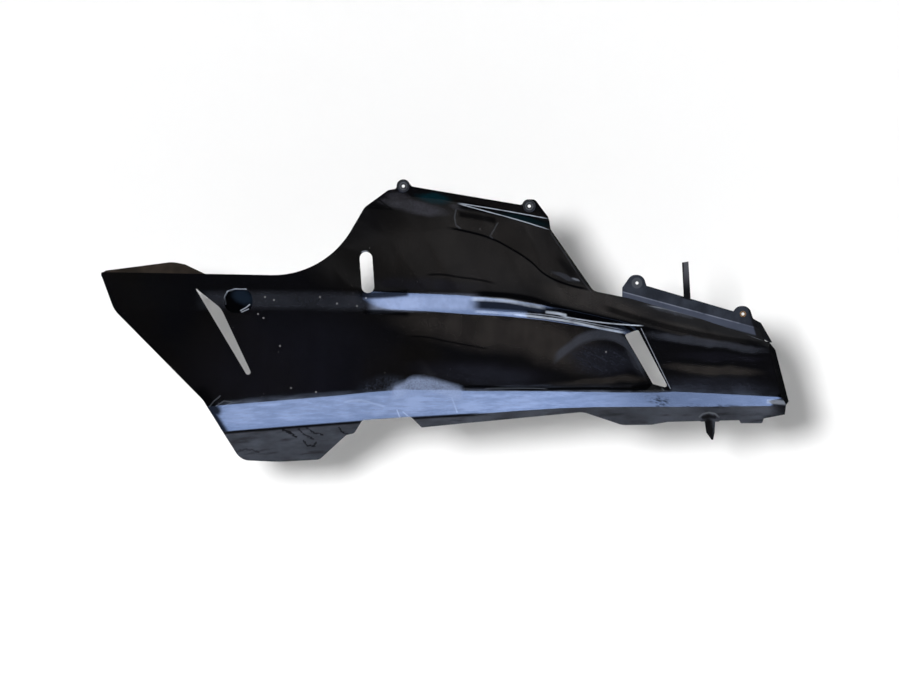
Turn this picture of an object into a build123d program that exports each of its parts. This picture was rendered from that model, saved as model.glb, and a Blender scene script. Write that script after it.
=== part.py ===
from build123d import *
import os
from math import cos, hypot, radians, sin, tan

os.makedirs("parts", exist_ok=True)

# Right-hand half of a motorcycle belly pan, upright as it is fitted.
# +X points forward, +Y towards the engine and +Z up, so the painted face looks along -Y.
# The origin lies midway between the holes of the two upper tabs, on the outer face of their flange.

# Moulded walls and the rake of the lines
wall = 2.6
rail_wall = 2.6
rake = 30.0

# Rounding of the ridges, the recess and the chamfer
ridge_r = 2.5
recess_r = 4.0
chamfer_r = 1.5

# Upper tabs of the shell and their grommets
tab_pitch = 128.6
tab_drop = 20.4
tab_r = 6.9
tab_round = 0.1
grommet_bore_r = 1.7
grommet_neck_r = 4.4
grommet_rim_r = 4.4
grommet_head_r = 6.4
grommet_head = 1.8
grommet_dish = 0.9
grommet_edge = 0.7
grommet_foot = 1.6

# Underside: how far it is carried below the chamfer before the outline trims it, and its slope
underside_drop = 46.0
underside_slope = 28.0

# Flat upper band of the nose: one point of it, and how far it turns inwards per millimetre
nose_x = 169.6
nose_y = -42.0
nose_z = -130.0
nose_sweep = 0.164
nose_lean = 0.607

# Raked slot, pocket and vent
slot_x = -101.3
slot_z = -78.0
slot_pitch = 29.0
slot_width = 13.0
slot_angle = -86.0
pocket_x = -232.4
pocket_z = -107.1
pocket_width = 28.5
pocket_height = 23.8
pocket_r = 10.0
pocket_floor_y = -4.0
vent_r = 2.0
vent_lip = 1.0

# Front end wall
end_wall_front_y = -38.5
end_wall_back_y = 10.0

# Locating prong under the nose, on its round boss
boss_x = 248.6
boss_y = -3.0
boss_r = 10.4
boss_drop = 4.0
boss_height = 22.0
boss_round = 2.0
prong_width = 11.2
prong_thick = 5.0
prong_corner_r = 2.0
prong_root = 2.5
prong_waist = 11.0
prong_waist_width = 8.6
prong_waist_drift = 0.6
prong_length = 18.6
prong_drift = 2.6
prong_tip_width = 1.6

# Folded flap along the top of the tail
flap_lean = 45.0
flap_root = 1.5
flap_inset = 1.2
flap_corner_r = 3.0
flap_crest_r = 20.0

# Rail: tabs, margins beyond them, skirt, returned end, tongue and insert
rail_tab_rear_x = 174.1
rail_tab_rear_z = -88.7
rail_tab_front_x = 282.2
rail_tab_front_z = -120.4
rail_tab_r = 8.2
rail_tab_top = 6.2
rail_tab_foot = 9.7
rail_tab_round = 8.4
rail_rear_margin = 15.1
rail_front_margin = 14.8
rail_front_rake = 8.0
rail_rear_rise = 3.2
rail_web_y = -20.7
rail_web_root = 1.0
rail_skirt_rear = 17.0
rail_skirt_front = 14.5
rail_hole_r = 1.6
rail_seat_r = 5.6
rail_seat_depth = 0.6
rail_end_rise = 9.5
rail_end_fall = 10.5
rail_end_run = 20.0
rail_end_drift = 9.5
rail_end_dip = 5.0
tongue_thick = 3.0
tongue_root = 0.6
insert_r = 3.2
insert_proud = 0.5
insert_length = 7.0

# Raked stations of the lofts, by where they cross the height of the origin
tail_start = -436.0
nose_end = 240.0
tail_steps = 14
nose_steps = 4
bisections = 40

# Every cut and trim reaches further than the pan is deep
reach = nose_end - tail_start

# Character lines of the tail and wing from top to bottom, each through points of (x, z, y)
flange_top = [(-440, 40, 0), (-147, 40, 0), (-107, 40, 0), (-35.5, 34.5, 0), (71, 14.5, 0)]
joggle_top = [
    (-415.5, -51, 0), (-262.5, -51, 0), (-174.5, -45, 0), (-121, -13.5, 0),
    (-83.5, -1, 0), (-12, -6, 0), (83, -24, 0), (94, -26, 0),
]
joggle_foot = [
    (-413.5, -55, -1.5), (-260.5, -55, -1.5), (-172, -49, -1.5), (-119, -17.5, -1.5), (-81.5, -4, -1.5),
    (-27.5, -8, -2), (-10, -10, -2.5), (34, -21, -5.5), (89.5, -35, -9), (100.5, -37, -9),
]
upper_crease = [
    (-406, -67.5, -9), (-253, -67.5, -17), (-164, -63, -20), (-103, -45, -14.5), (-61, -40, -14),
    (-17.5, -32.5, -11.7), (25, -44, -14.3), (47.5, -55, -17), (70, -70.5, -21), (95.5, -85.5, -25.3),
]
upper_ridge = [
    (-390, -96, -13), (-246, -95, -22), (-123.5, -95.5, -30), (-58.5, -98.5, -36),
    (-29, -99.5, -38), (25, -103.5, -41), (70, -109.5, -42), (95.5, -114, -42),
]
recess_top = [
    (-378.5, -115.5, -10), (-241, -115.5, -17), (-139, -115.5, -20.5), (-79, -116.5, -23),
    (-34, -118.5, -25), (8, -121.5, -26), (56, -124, -26), (95.5, -129, -26), (161, -139.5, -24),
]
recess_foot = [
    (-324, -210, -12), (-239.5, -202, -17), (-120.5, -190.5, -25), (-75, -188.5, -29),
    (-11.5, -194.5, -31), (66.5, -194, -28), (144.5, -191, -22), (190, -191, -18),
]
lower_ridge = [
    (-318.5, -219.5, -13), (-234, -212, -18), (-107.5, -201, -27), (-70, -197.5, -31),
    (-9.5, -198, -35), (69, -198, -39), (126.5, -199, -41), (194.5, -199.5, -42),
]
chamfer_foot = [
    (-303.5, -245, 8), (-249, -240.5, 5), (-111.5, -230, -4), (-67.5, -227, -7),
    (14, -222, -14), (104, -216, -21), (176, -215, -24), (204, -215, -25),
]

# The same lines forward of the vent, where the recess has run out. The first two lie on the flat upper band
nose_crease = [(148.8, -93.8), (221.5, -112.2), (298, -138.7), (322, -144.8)]
nose_upper_ridge = [(169.6, -130), (238.4, -145.4), (305.7, -153.5), (325, -156)]
nose_band = [(176.5, -142, -39.5), (247.5, -157, -37.8), (312, -163, -32), (332, -165, -30)]
nose_field_foot = [(204, -189.5, -41), (267.5, -192, -40), (331.5, -197, -36), (352.5, -198, -34)]
nose_lower_ridge = [(210, -199.5, -42), (273.5, -202.5, -41), (337, -206, -37), (358, -207, -35)]
nose_chamfer_foot = [(218.5, -215, -25), (280.5, -214.5, -24), (341.5, -214, -22), (362, -214, -21)]
nose_flange = [
    [(71, 14.5, 0), (190, 14.5, 0)], [(94, -26, 0), (230, -26, 0)], [(100.5, -37, -9), (236, -37, -9)],
]

# Where the two upper lines of the tail run into the flat band
band_entry = [(133.8, -93.8), (152.7, -126.5)]

# Vent corners in side view, from the rear top round by the front top
vent = [(161.2, -141.4), (175.1, -136.4), (206.2, -196), (190.4, -191.8)]

# Curved slit in the tail: its tip, its knee and the corners of its foot, as x, z and corner radius
slit = [(-277, -93.2, 0.5), (-250.2, -114.6, 20), (-218.9, -181.4, 2.4), (-224, -182.5, 2.4)]

# Side-view edges of the nose and of the end wall's back, and the line that trims the end wall's top
nose_edge = [(306.3, -148.4), (320.5, -204), (326.1, -213.2), (325.1, -223)]
end_wall_edge = [(313.5, -148.4), (329.2, -209.5), (326.1, -214), (325.1, -223)]
end_wall_top = [(296, -146), (308.5, -148.4), (317, -158.5), (340, -158.5)]

# Tail flap: its fold in side view, and its corner, crest and shoulder along and up the flap
flap_fold = [(-372.6, -79), (-264, -79.5)]
flap_corner = (4, 4.2)
flap_crest = (72, 17.2)
flap_shoulder = (85, 13.8)

# Tongue of the rail in side view
tongue = [(220, -67.8), (226.6, -66.8), (229.5, -118), (222.5, -118)]

# Side-view outline of the shell from the tail's tip over the wing and the nose: x, z and corner radius
upper_tabs = [(-tab_pitch / 2, tab_drop / 2), (tab_pitch / 2, -tab_drop / 2)]
(rear_x, rear_z), (front_x, front_z) = upper_tabs
tab_corner = tab_r - tab_round
outline = [
    (-373.6, -77.5, 2), (-144.7, -81.6, 92), (-103.8, -11.3, 12), (-79.9, 6.1, 3),
    (rear_x - tab_r, rear_z - 2.5, 2.5), (rear_x - tab_r, rear_z + tab_r, tab_corner),
    (rear_x + tab_r, rear_z + tab_r, tab_corner), (rear_x + tab_r, rear_z, 4),
    (front_x - tab_r, front_z + 1, 2), (front_x - tab_r, front_z + tab_r, tab_corner - 1),
    (front_x + tab_r - 1, front_z + tab_r, tab_corner - 1), (84.4, -22.4, 12), (85.9, -33.7, 4),
    (129.7, -96.9, 10), (167, -104.5, 150), (238.4, -125, 200),
    (*nose_edge[0], 3), (*nose_edge[1], 2), (*nose_edge[2], 2), (*nose_edge[3], 3),
    (303.7, -227, 1), (302.1, -231.8, 1.5), (280.2, -231.8, 1.5), (278.7, -228.7, 1),
    (205.7, -230.5, 12), (189.4, -233.4, 15), (159.3, -233.8, 20), (119, -220.3, 25), (-45.7, -236.2, 2),
    (-56.5, -225.3, 4), (-106, -228.6, 3), (-114.5, -242.2, 4), (-122.7, -244.1, 4), (-150.2, -269.3, 8),
    (-193.1, -271.6, 150), (-230.8, -269.8, 16), (-268.6, -208.1, 30), (-359.3, -116.3, 25),
]


def raked(x, z):
    """Where the raked line through a side-view point crosses the height of the origin."""
    return x + z * tan(radians(rake))


def on_band(points):
    """Side-view points set on the outer face of the nose's flat upper band."""
    return [(x, z, nose_y + nose_sweep * (x - nose_x) + nose_lean * (z - nose_z)) for x, z in points]


def smooth(line):
    """A character line as one curve through its points."""
    return Edge.make_spline([Vector(x, y, z) for x, z, y in line])


def spread(start, end, count):
    """Evenly spaced stations."""
    return [start + (end - start) * i / count for i in range(count + 1)]


def crossing(line, station):
    """Depth and raked height at which a character line crosses a station."""
    low, high = 0.0, 1.0
    for _ in range(bisections):
        middle = (low + high) / 2
        point = line @ middle
        if raked(point.X, point.Z) < station:
            low = middle
        else:
            high = middle
    point = line @ low
    tangent = line % low
    point += tangent * ((station - raked(point.X, point.Z)) / raked(tangent.X, tangent.Z))
    return point.Y, point.Z / cos(radians(rake))


def outer_line(lines, station):
    """The shell's outer face at a station, from the flange down to the edge of the underside."""
    points = [crossing(line, station) for line in lines]
    y, height = points[-1]
    run = underside_drop / tan(radians(underside_slope))
    return points + [(y + run, height - underside_drop / cos(radians(rake)))]


def skin_y(lines, x, z):
    """Depth of the shell's outer face at a side-view point."""
    points = outer_line(lines, raked(x, z))
    height = z / cos(radians(rake))
    lower = next(i for i, point in enumerate(points) if point[1] < height)
    (y1, h1), (y2, h2) = points[lower - 1], points[lower]
    return y1 + (y2 - y1) * (height - h1) / (h2 - h1)


def inset(points, distance):
    """An open line of points moved inwards, mitred at its corners."""
    sides = [Vector(*b) - Vector(*a) for a, b in zip(points, points[1:])]
    normals = [Vector(-side.Y, side.X).normalized() for side in sides]
    moved = []
    for i, point in enumerate(points):
        first = normals[max(i - 1, 0)]
        second = normals[min(i, len(normals) - 1)]
        mitre = (first + second) * (distance / (1 + first.dot(second)))
        moved.append((point[0] + mitre.X, point[1] + mitre.Y))
    return moved


def rounded(points):
    """A closed outline through points of x, z and corner radius."""
    return FilletPolyline(*[point[:2] for point in points], radius=[point[2] for point in points], close=True)


def station_plane(station):
    """Plane of a raked section, with the depth as its first axis."""
    return Plane(origin=(station, 0, 0), x_dir=(0, 1, 0), z_dir=(1, 0, tan(radians(rake))))


def wall_section(lines, station):
    """The wall at a station, between the outer face and its inset."""
    front = outer_line(lines, station)
    rear = inset(front, wall)[::-1]
    rounding = [0, 0, 0, 0, ridge_r, recess_r, 0, chamfer_r, chamfer_r, 0] + [0] * len(rear)
    with BuildSketch(station_plane(station)) as cut:
        with BuildLine():
            FilletPolyline(*front, *rear, radius=rounding, close=True)
        make_face()
    return cut.sketch


def space_section(lines, station):
    """All that lies behind the middle of the wall at a station."""
    front = inset(outer_line(lines, station), wall / 2)
    with BuildSketch(station_plane(station)) as cut:
        with BuildLine():
            Polyline(*front, (reach, front[-1][1]), (reach, front[0][1]), close=True)
        make_face()
    return cut.sketch


vent_rear = raked(*vent[0])
vent_front = raked(*vent[1]) - vent_lip
crease_entry, ridge_entry = on_band(band_entry)
tail_lines = [smooth(line) for line in (
    flange_top, joggle_top, joggle_foot, upper_crease + [crease_entry], upper_ridge + [ridge_entry],
    recess_top, recess_foot, lower_ridge, chamfer_foot,
)]
nose_lines = [smooth(line) for line in (
    *nose_flange, on_band(nose_crease), on_band(nose_upper_ridge),
    nose_band, nose_field_foot, nose_lower_ridge, nose_chamfer_foot,
)]
tail_run = [(tail_lines, station) for station in spread(tail_start, vent_rear, tail_steps)]
nose_run = [(nose_lines, station) for station in spread(vent_front, nose_end, nose_steps)]
runs = [tail_run, [tail_run[-1], nose_run[0]], nose_run]

# Everything behind the middle of the shell's wall: it trims what is moulded on to the shell
with BuildPart() as inner_space:
    for run in runs:
        loft(sections=[space_section(lines, station) for lines, station in run], ruled=True)

# Front end wall, from the nose's edge back to its own raked edge
with BuildPart() as end_wall:
    for depth, edge in ((end_wall_front_y, nose_edge), (end_wall_back_y, end_wall_edge)):
        with BuildSketch(Plane.XZ.offset(-depth)):
            with BuildLine():
                Polyline(*edge, *[(x - wall, z) for x, z in reversed(edge)], close=True)
            make_face()
    loft(ruled=True)
    with BuildSketch(Plane.XZ):
        with BuildLine():
            Polyline(
                *end_wall_top, (end_wall_top[-1][0], -reach), (end_wall_top[0][0], -reach), close=True,
            )
        make_face()
    extrude(amount=reach, both=True, mode=Mode.INTERSECT)
    add(inner_space.part, mode=Mode.INTERSECT)

# Cup behind the round-cornered pocket, still solid
with BuildPart() as pocket_cup:
    with BuildSketch(Plane.XZ.offset(-pocket_floor_y - wall)):
        with Locations((pocket_x, pocket_z)):
            RectangleRounded(pocket_width + 2 * wall, pocket_height + 2 * wall, pocket_r + wall)
    extrude(amount=reach)
    add(inner_space.part, mode=Mode.INTERSECT)

# Boss that stands down from the sloping underside, and the pointed prong below it
boss_side = skin_y(nose_lines, boss_x, nose_chamfer_foot[1][1])
boss_foot_z = nose_chamfer_foot[1][1] - (boss_y - boss_side) * tan(radians(underside_slope)) - boss_drop
with BuildPart() as prong:
    with BuildSketch(Plane.XY.offset(boss_foot_z)):
        with Locations((boss_x, boss_y)):
            Circle(boss_r)
    extrude(amount=boss_height)
    fillet(prong.faces().sort_by(Axis.Z)[0].edges(), boss_round)
    add(inner_space.part, mode=Mode.SUBTRACT)
    with BuildSketch(Plane.XY.offset(boss_foot_z + prong_root)):
        with Locations((boss_x, boss_y)):
            RectangleRounded(prong_width, prong_thick, prong_corner_r)
    with BuildSketch(Plane.XY.offset(boss_foot_z - prong_waist)):
        with Locations((boss_x + prong_waist_drift, boss_y)):
            RectangleRounded(prong_waist_width, prong_thick, prong_corner_r)
    with BuildSketch(Plane.XY.offset(boss_foot_z - prong_length)):
        with Locations((boss_x + prong_drift, boss_y)):
            RectangleRounded(prong_tip_width, prong_tip_width, prong_tip_width / 4)
    loft(ruled=True)

# Plane of the tail's flap, hinged on the fold and leaning inwards
fold = [Vector(x, skin_y(tail_lines, x, z) + flap_inset, z) for x, z in flap_fold]
fold_run = fold[1] - fold[0]
flap_up = Vector(0, sin(radians(flap_lean)), cos(radians(flap_lean)))
flap_plane = Plane(origin=fold[0], x_dir=fold_run, z_dir=fold_run.cross(flap_up))
flap_outline = [flap_corner, flap_crest, flap_shoulder, (fold_run.length, -flap_root), (0, -flap_root)]

# Painted shell with its bare underside: one moulding
with BuildPart() as shell:
    for run in runs:
        loft(sections=[wall_section(lines, station) for lines, station in run], ruled=True)
    with BuildSketch(Plane.XZ):
        with BuildLine():
            rounded(outline)
        make_face()
    extrude(amount=reach, both=True, mode=Mode.INTERSECT)
    add([end_wall.part, pocket_cup.part, prong.part])
    with BuildSketch(flap_plane):
        with BuildLine():
            FilletPolyline(*flap_outline, radius=[flap_corner_r, flap_crest_r, 0, 0, 0], close=True)
        make_face()
    extrude(amount=-wall)
    # Pocket, slot, slit, vent and the grommets' holes
    with BuildSketch(Plane.XZ.offset(-pocket_floor_y)):
        with Locations((pocket_x, pocket_z)):
            RectangleRounded(pocket_width, pocket_height, pocket_r)
    extrude(amount=reach, mode=Mode.SUBTRACT)
    with BuildSketch(Plane.XZ):
        with Locations((slot_x, slot_z)):
            SlotCenterToCenter(slot_pitch, slot_width, rotation=slot_angle)
        with BuildLine():
            rounded(slit)
        make_face()
        with BuildLine():
            FilletPolyline(*vent, radius=vent_r, close=True)
        make_face()
        with Locations(*upper_tabs):
            Circle(grommet_neck_r)
    extrude(amount=reach, both=True, mode=Mode.SUBTRACT)
shell.part.label = "shell"
export_step(shell.part, "parts/shell.step")

# Ends of the rail, and the slope from one of its tabs to the other
rail_rear_x = rail_tab_rear_x - rail_rear_margin
rail_front_x = rail_tab_front_x + rail_front_margin
tab_slope = (rail_tab_front_z - rail_tab_rear_z) / (rail_tab_front_x - rail_tab_rear_x)

# Seat of the rail on the inner face of the nose's flat upper band, and the bend where its web leaves it
band_slope = nose_lean * cos(radians(rake)) - nose_sweep * sin(radians(rake))
seat_y = nose_y + wall * hypot(1, band_slope)
rail_seat = Plane(
    origin=(nose_x, seat_y, nose_z), x_dir=(1, nose_sweep, 0), z_dir=(-nose_sweep, 1, -nose_lean),
)
rear_bend, front_bend = [
    nose_z + (rail_web_y - seat_y - nose_sweep * (x - nose_x)) / nose_lean
    for x in (rail_rear_x, rail_front_x)
]

# Rail web over its two tabs: x, z and corner radius
rail_tabs = [(rail_tab_rear_x, rail_tab_rear_z), (rail_tab_front_x, rail_tab_front_z)]
web = [(rail_rear_x, rear_bend - rail_web_root, 0), (rail_rear_x, rear_bend + rail_rear_rise, 0)]
for x, z in rail_tabs:
    web += [
        (x - rail_tab_foot, z - tab_slope * rail_tab_foot, 0),
        (x - rail_tab_top, z + rail_tab_r, rail_tab_round),
        (x + rail_tab_top, z + rail_tab_r, rail_tab_round),
        (x + rail_tab_foot, z + tab_slope * rail_tab_foot, 0),
    ]
web.append((rail_front_x, front_bend - rail_web_root, 0))

# Root of the rail's returned end, raked as the nose is
rail_end = [
    (rail_front_x - rail_end_rise * tan(radians(rake)), front_bend + rail_end_rise),
    (rail_front_x + rail_end_fall * tan(radians(rake)), front_bend - rail_end_fall),
]

# Matt rail behind the nose's upper edge
with BuildPart() as rail:
    # Skirt that lies against the inside of the shell
    with BuildSketch(Plane.XZ):
        with BuildLine():
            Polyline(
                (rail_rear_x, rear_bend), (rail_front_x, front_bend),
                (rail_front_x + rail_front_rake, front_bend - rail_skirt_front),
                (rail_rear_x, rear_bend - rail_skirt_rear), close=True,
            )
        make_face()
    extrude(amount=reach, both=True)
    split(bisect_by=rail_seat, keep=Keep.TOP)
    split(bisect_by=rail_seat.offset(rail_wall), keep=Keep.BOTTOM)
    with BuildSketch(Plane.XZ.offset(-rail_web_y)):
        with BuildLine():
            rounded(web)
        make_face()
    extrude(amount=-rail_wall)
    # Returned front end
    with BuildSketch(Plane.XZ.offset(-rail_web_y)):
        with BuildLine():
            Polyline(*rail_end, *[(x - rail_wall, z) for x, z in reversed(rail_end)], close=True)
        make_face()
    extrude(amount=hypot(rail_end_run, rail_end_drift), dir=(rail_end_drift, rail_end_run, -rail_end_dip))
    # Upright tongue behind the web
    with BuildSketch(Plane.XZ.offset(-rail_web_y - rail_wall + tongue_root)):
        with BuildLine():
            Polyline(*tongue, close=True)
        make_face()
    extrude(amount=-tongue_thick - tongue_root)
    # Seated hole of the rear tab and the insert's hole
    with BuildSketch(Plane.XZ.offset(-rail_web_y)):
        with Locations((rail_tab_rear_x, rail_tab_rear_z)):
            Circle(rail_seat_r)
    extrude(amount=-rail_seat_depth, mode=Mode.SUBTRACT)
    with BuildSketch(Plane.XZ):
        with Locations((rail_tab_rear_x, rail_tab_rear_z)):
            Circle(rail_hole_r)
        with Locations((rail_tab_front_x, rail_tab_front_z)):
            Circle(insert_r)
    extrude(amount=reach, both=True, mode=Mode.SUBTRACT)
rail.part.label = "rail"
export_step(rail.part, "parts/rail.step")

# Grommets in the upper tabs, turned about their holes
for name, (x, z) in zip(("grommet_rear", "grommet_front"), upper_tabs):
    with BuildPart() as grommet:
        with BuildSketch(Plane(origin=(x, 0, z), x_dir=(1, 0, 0), z_dir=(0, 0, 1))):
            with BuildLine():
                Polyline(
                    (grommet_bore_r, grommet_dish - grommet_head),
                    (grommet_rim_r, grommet_dish - grommet_head),
                    (grommet_rim_r, -grommet_head), (grommet_head_r - grommet_edge, -grommet_head),
                    (grommet_head_r, grommet_edge - grommet_head), (grommet_head_r, 0),
                    (grommet_neck_r, 0), (grommet_neck_r, wall), (grommet_head_r, wall),
                    (grommet_head_r, wall + grommet_foot), (grommet_bore_r, wall + grommet_foot), close=True,
                )
            make_face()
        revolve(axis=Axis((x, 0, z), (0, 1, 0)))
    grommet.part.label = name
    export_step(grommet.part, f"parts/{name}.step")

# Brass insert in the rail's front tab
with BuildPart() as insert:
    with BuildSketch(Plane.XZ.offset(insert_proud - rail_web_y)):
        with Locations((rail_tab_front_x, rail_tab_front_z)):
            Circle(insert_r)
            Circle(rail_hole_r, mode=Mode.SUBTRACT)
    extrude(amount=-insert_length)
insert.part.label = "insert"
export_step(insert.part, "parts/insert.step")
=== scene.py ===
"""Studio picture of the right-hand half of a motorcycle belly pan in scuffed gloss black.

The part hangs in its own frame: +X forward, +Y towards the engine, +Z up, in metres.
Marks in the finishes are placed by the photograph's pixels, on the piece's own Object coordinates.
"""

from math import atan2, degrees, pi, radians

import bmesh
import bpy
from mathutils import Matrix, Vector


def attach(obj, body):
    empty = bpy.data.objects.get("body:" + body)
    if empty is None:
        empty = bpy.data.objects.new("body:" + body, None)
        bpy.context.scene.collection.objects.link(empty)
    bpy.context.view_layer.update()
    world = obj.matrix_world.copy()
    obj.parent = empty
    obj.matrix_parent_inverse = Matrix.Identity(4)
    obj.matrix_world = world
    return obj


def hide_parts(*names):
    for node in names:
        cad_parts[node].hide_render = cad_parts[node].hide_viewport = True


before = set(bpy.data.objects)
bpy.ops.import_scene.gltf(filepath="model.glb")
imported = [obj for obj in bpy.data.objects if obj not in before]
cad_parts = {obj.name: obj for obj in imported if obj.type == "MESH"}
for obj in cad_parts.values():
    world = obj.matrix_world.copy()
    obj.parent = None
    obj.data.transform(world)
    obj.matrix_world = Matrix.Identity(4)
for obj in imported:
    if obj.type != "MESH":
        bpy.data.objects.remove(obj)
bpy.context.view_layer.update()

MM = 0.001

# Photograph: millimetres per pixel, the pixel at the frame's origin and the size of the picture
PIXEL = 1.02
ORIGIN_PX = (466.3, 196.0)
PICTURE = (900, 675)

# Camera: metres to the plane of the painted face, that plane's depth, and the sensor's width in millimetres
CAMERA_DISTANCE = 24.0
FACE_Y = -0.020
SENSOR = 36.0

# Limits between the shell's finishes: tilts in degrees, turns as a part of the normal, places in metres
UNDERSIDE_TILT = -57.0
UNDERSIDE_TOP_Z = -0.2135
END_WALL_TURN = 0.6
INSIDE_TURN = 0.05
FLAP_FRONT_X = -0.258
FLAP_FOOT_Z = -0.0790
FLAP_TILT = 20.0

# Box round the prong: along the part, up and in depth
PRONG_BOX = ((0.237, 0.260), (-0.26, -0.2135), (-0.0145, 0.02))

# Mesh of the shell: corners nearer than MERGE become one. Folds sharper than SHARP_ANGLE stay edges.
# Beside a strip of a rounding, narrower than STRIP_WIDTH, ROUND_ANGLE is the limit
MERGE = 0.00001
SHARP_ANGLE = 6.0
ROUND_ANGLE = 32.0
STRIP_WIDTH = 0.0016

# Radius by which the paint's shading rounds the edges
EDGE_R = 0.0009

# Where along the part the mirrored panels are dimmest, and where they are full
PANEL_FADE_X = (0.22, 0.06)

# Share of a mark's half-width over which it is full
FIELD_CORE = 0.35
STROKE_CORE = 0.25
LINE_CORE = 0.3

# The marks below are in photograph pixels. A line or a scuff has points, a half-width and a strength. The
# points of a line run from the tail forward. A field has a middle, half-width, half-height, turn in degrees
# and strength. SOFT is the softness of a straight edge
SOFT = 1.0

# Edge between the chamfer and the bare underside
CHAMFER_FOOT = ([(208, 434.4), (280, 428.3), (345, 423.2), (400, 419), (490, 413.8)], 2.2, 1.0)

# Painted shade and dark reflections in the gloss: dark lines in the folds and along edges, and the dark
# cores of the mirrored bands, with a smear and a scratch among them
DARK_LINES = {
    "wing crease": ([(446, 227.5), (465, 231), (490, 238), (510, 248), (530, 261), (546, 275), (566, 284),
                     (592, 290)], 1.9, 1.0),
    "wing smear": ([(426, 275), (440, 274.5), (458, 277), (480, 280), (496, 284)], 1.6, 0.8),
    "joggle": ([(456, 204), (480, 208.3), (500, 212.5), (555, 226)], 6.5, 1.0),
    "under the joggle": ([(458, 214), (475, 216.5), (497, 221)], 4.5, 0.8),
    "above the ridge": ([(470, 293.5), (520, 297), (556, 307), (600, 317.5), (646, 328)], 4.5, 1.0),
    "band core": ([(468, 304), (505, 306), (530, 308.5), (560, 314), (600, 321.5), (648, 330)], 8.0, 1.0),
    "band's rear top": ([(358, 294.4), (374, 295.2), (390, 294.4), (410, 292.4)], 5.0, 0.95),
    "band's rear foot": ([(362, 312.6), (376, 312), (392, 312.8), (410, 314.6)], 3.4, 0.85),
    "above the nose ridge": ([(600, 306), (640, 319), (680, 330), (720, 338), (768, 345.5)], 4.5, 0.75),
    "recess foot": ([(452, 389), (475, 386.5), (520, 389), (600, 388.5), (668, 390)], 2.2, 0.95),
    "vent foot": ([(630, 389.5), (650, 387), (660, 387), (672, 390)], 5.0, 0.97),
    "chamfer foot": CHAMFER_FOOT,
    "recess scratch": ([(408, 336.5), (425, 337), (445, 341), (490, 349)], 1.3, 0.8),
}
# Painted shade in short strokes: the chamfer's darkened ends and corners, the vent's front edge and the
# facets by the rear tab
PAINTED_SHADE_STROKES = {
    "chamfer's rear corner": ([(201, 395), (210, 408)], 12.0, 1.0),
    "chamfer's rear end": ([(209, 408), (226, 436)], 6.5, 1.0),
    "chamfer's rear top": ([(205, 398), (216, 411)], 8.0, 1.0),
    "chamfer's front corner": ([(779, 395.5), (789, 401.5)], 3.0, 1.0),
    "vent front edge": ([(639.6, 329.5), (668.8, 388)], 1.1, 0.95),
    "facet by the rear tab": ([(368, 207), (379, 199.5), (392, 209.5), (368, 207.5)], 1.1, 0.8),
    "facet": ([(374, 205.5), (384, 206)], 4.0, 0.6),
}
# Painted dark reflection in the mirrored band and at the crease's end
DARK_REFLECTION_FIELDS = {
    "band": (512, 307.0, 36, 6.5, 6, 0.9),
    "crease end": (567, 268, 16, 5, 50, 0.6),
}
# Darker patches, broken up by a hairy noise, over the chamfer's painted reflection
HAIRY_DARK_FIELDS = {
    "by the vent": (657, 401, 16, 9, 15, 0.9),
    "chamfer's front foot": (705, 408, 75, 4, 0, 0.8),
    "chamfer's front end": (768, 402, 24, 10, 0, 0.2),
}

# Painted highlights and bright reflections on the joggle's edges, the mirrored band, the vent, the recess
# foot and the nose's top edge, with a light scuff on the chamfer
LIGHT_LINES = {
    "joggle top": ([(458, 203), (500, 209.8), (548, 218.5)], 0.65, 0.9),
    "joggle foot": ([(458, 203.5), (480, 209.5), (515, 219), (549, 229.5)], 0.65, 0.95),
    "band top": ([(470, 299), (490, 299.5), (506, 300.8), (518, 302.8), (530, 305), (546, 307.8)],
                 2.9, 0.60),
    "band foot's rear": ([(474, 311.5), (500, 313), (530, 315.8)], 1.9, 0.42),
    "band foot": ([(510, 314), (560, 320), (600, 328), (626, 333)], 1.7, 0.92),
    "band glint": ([(545, 312), (552, 312.7), (558, 313.6), (567, 315.6)], 2.0, 1.0),
    "over the vent": ([(560, 316), (600, 322.3), (620, 324.3), (643, 325.8)], 0.9, 1.0),
    "second strip line": ([(500, 312.5), (540, 314.5), (580, 321.5), (624, 330)], 0.8, 0.5),
    "above the recess foot": ([(484, 388.6), (515, 388.2), (548, 389.2)], 0.7, 0.22),
    "nose top edge": ([(648, 305.5), (680, 312.5), (720, 324.5), (762, 340)], 0.9, 0.30),
    "chamfer's front end": ([(766, 401.4), (777, 402), (788, 403.2)], 3.2, 0.5),
    "chamfer scuff": ([(343, 403), (358, 400.5), (375, 404), (386, 407)], 1.5, 0.16),
}

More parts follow.
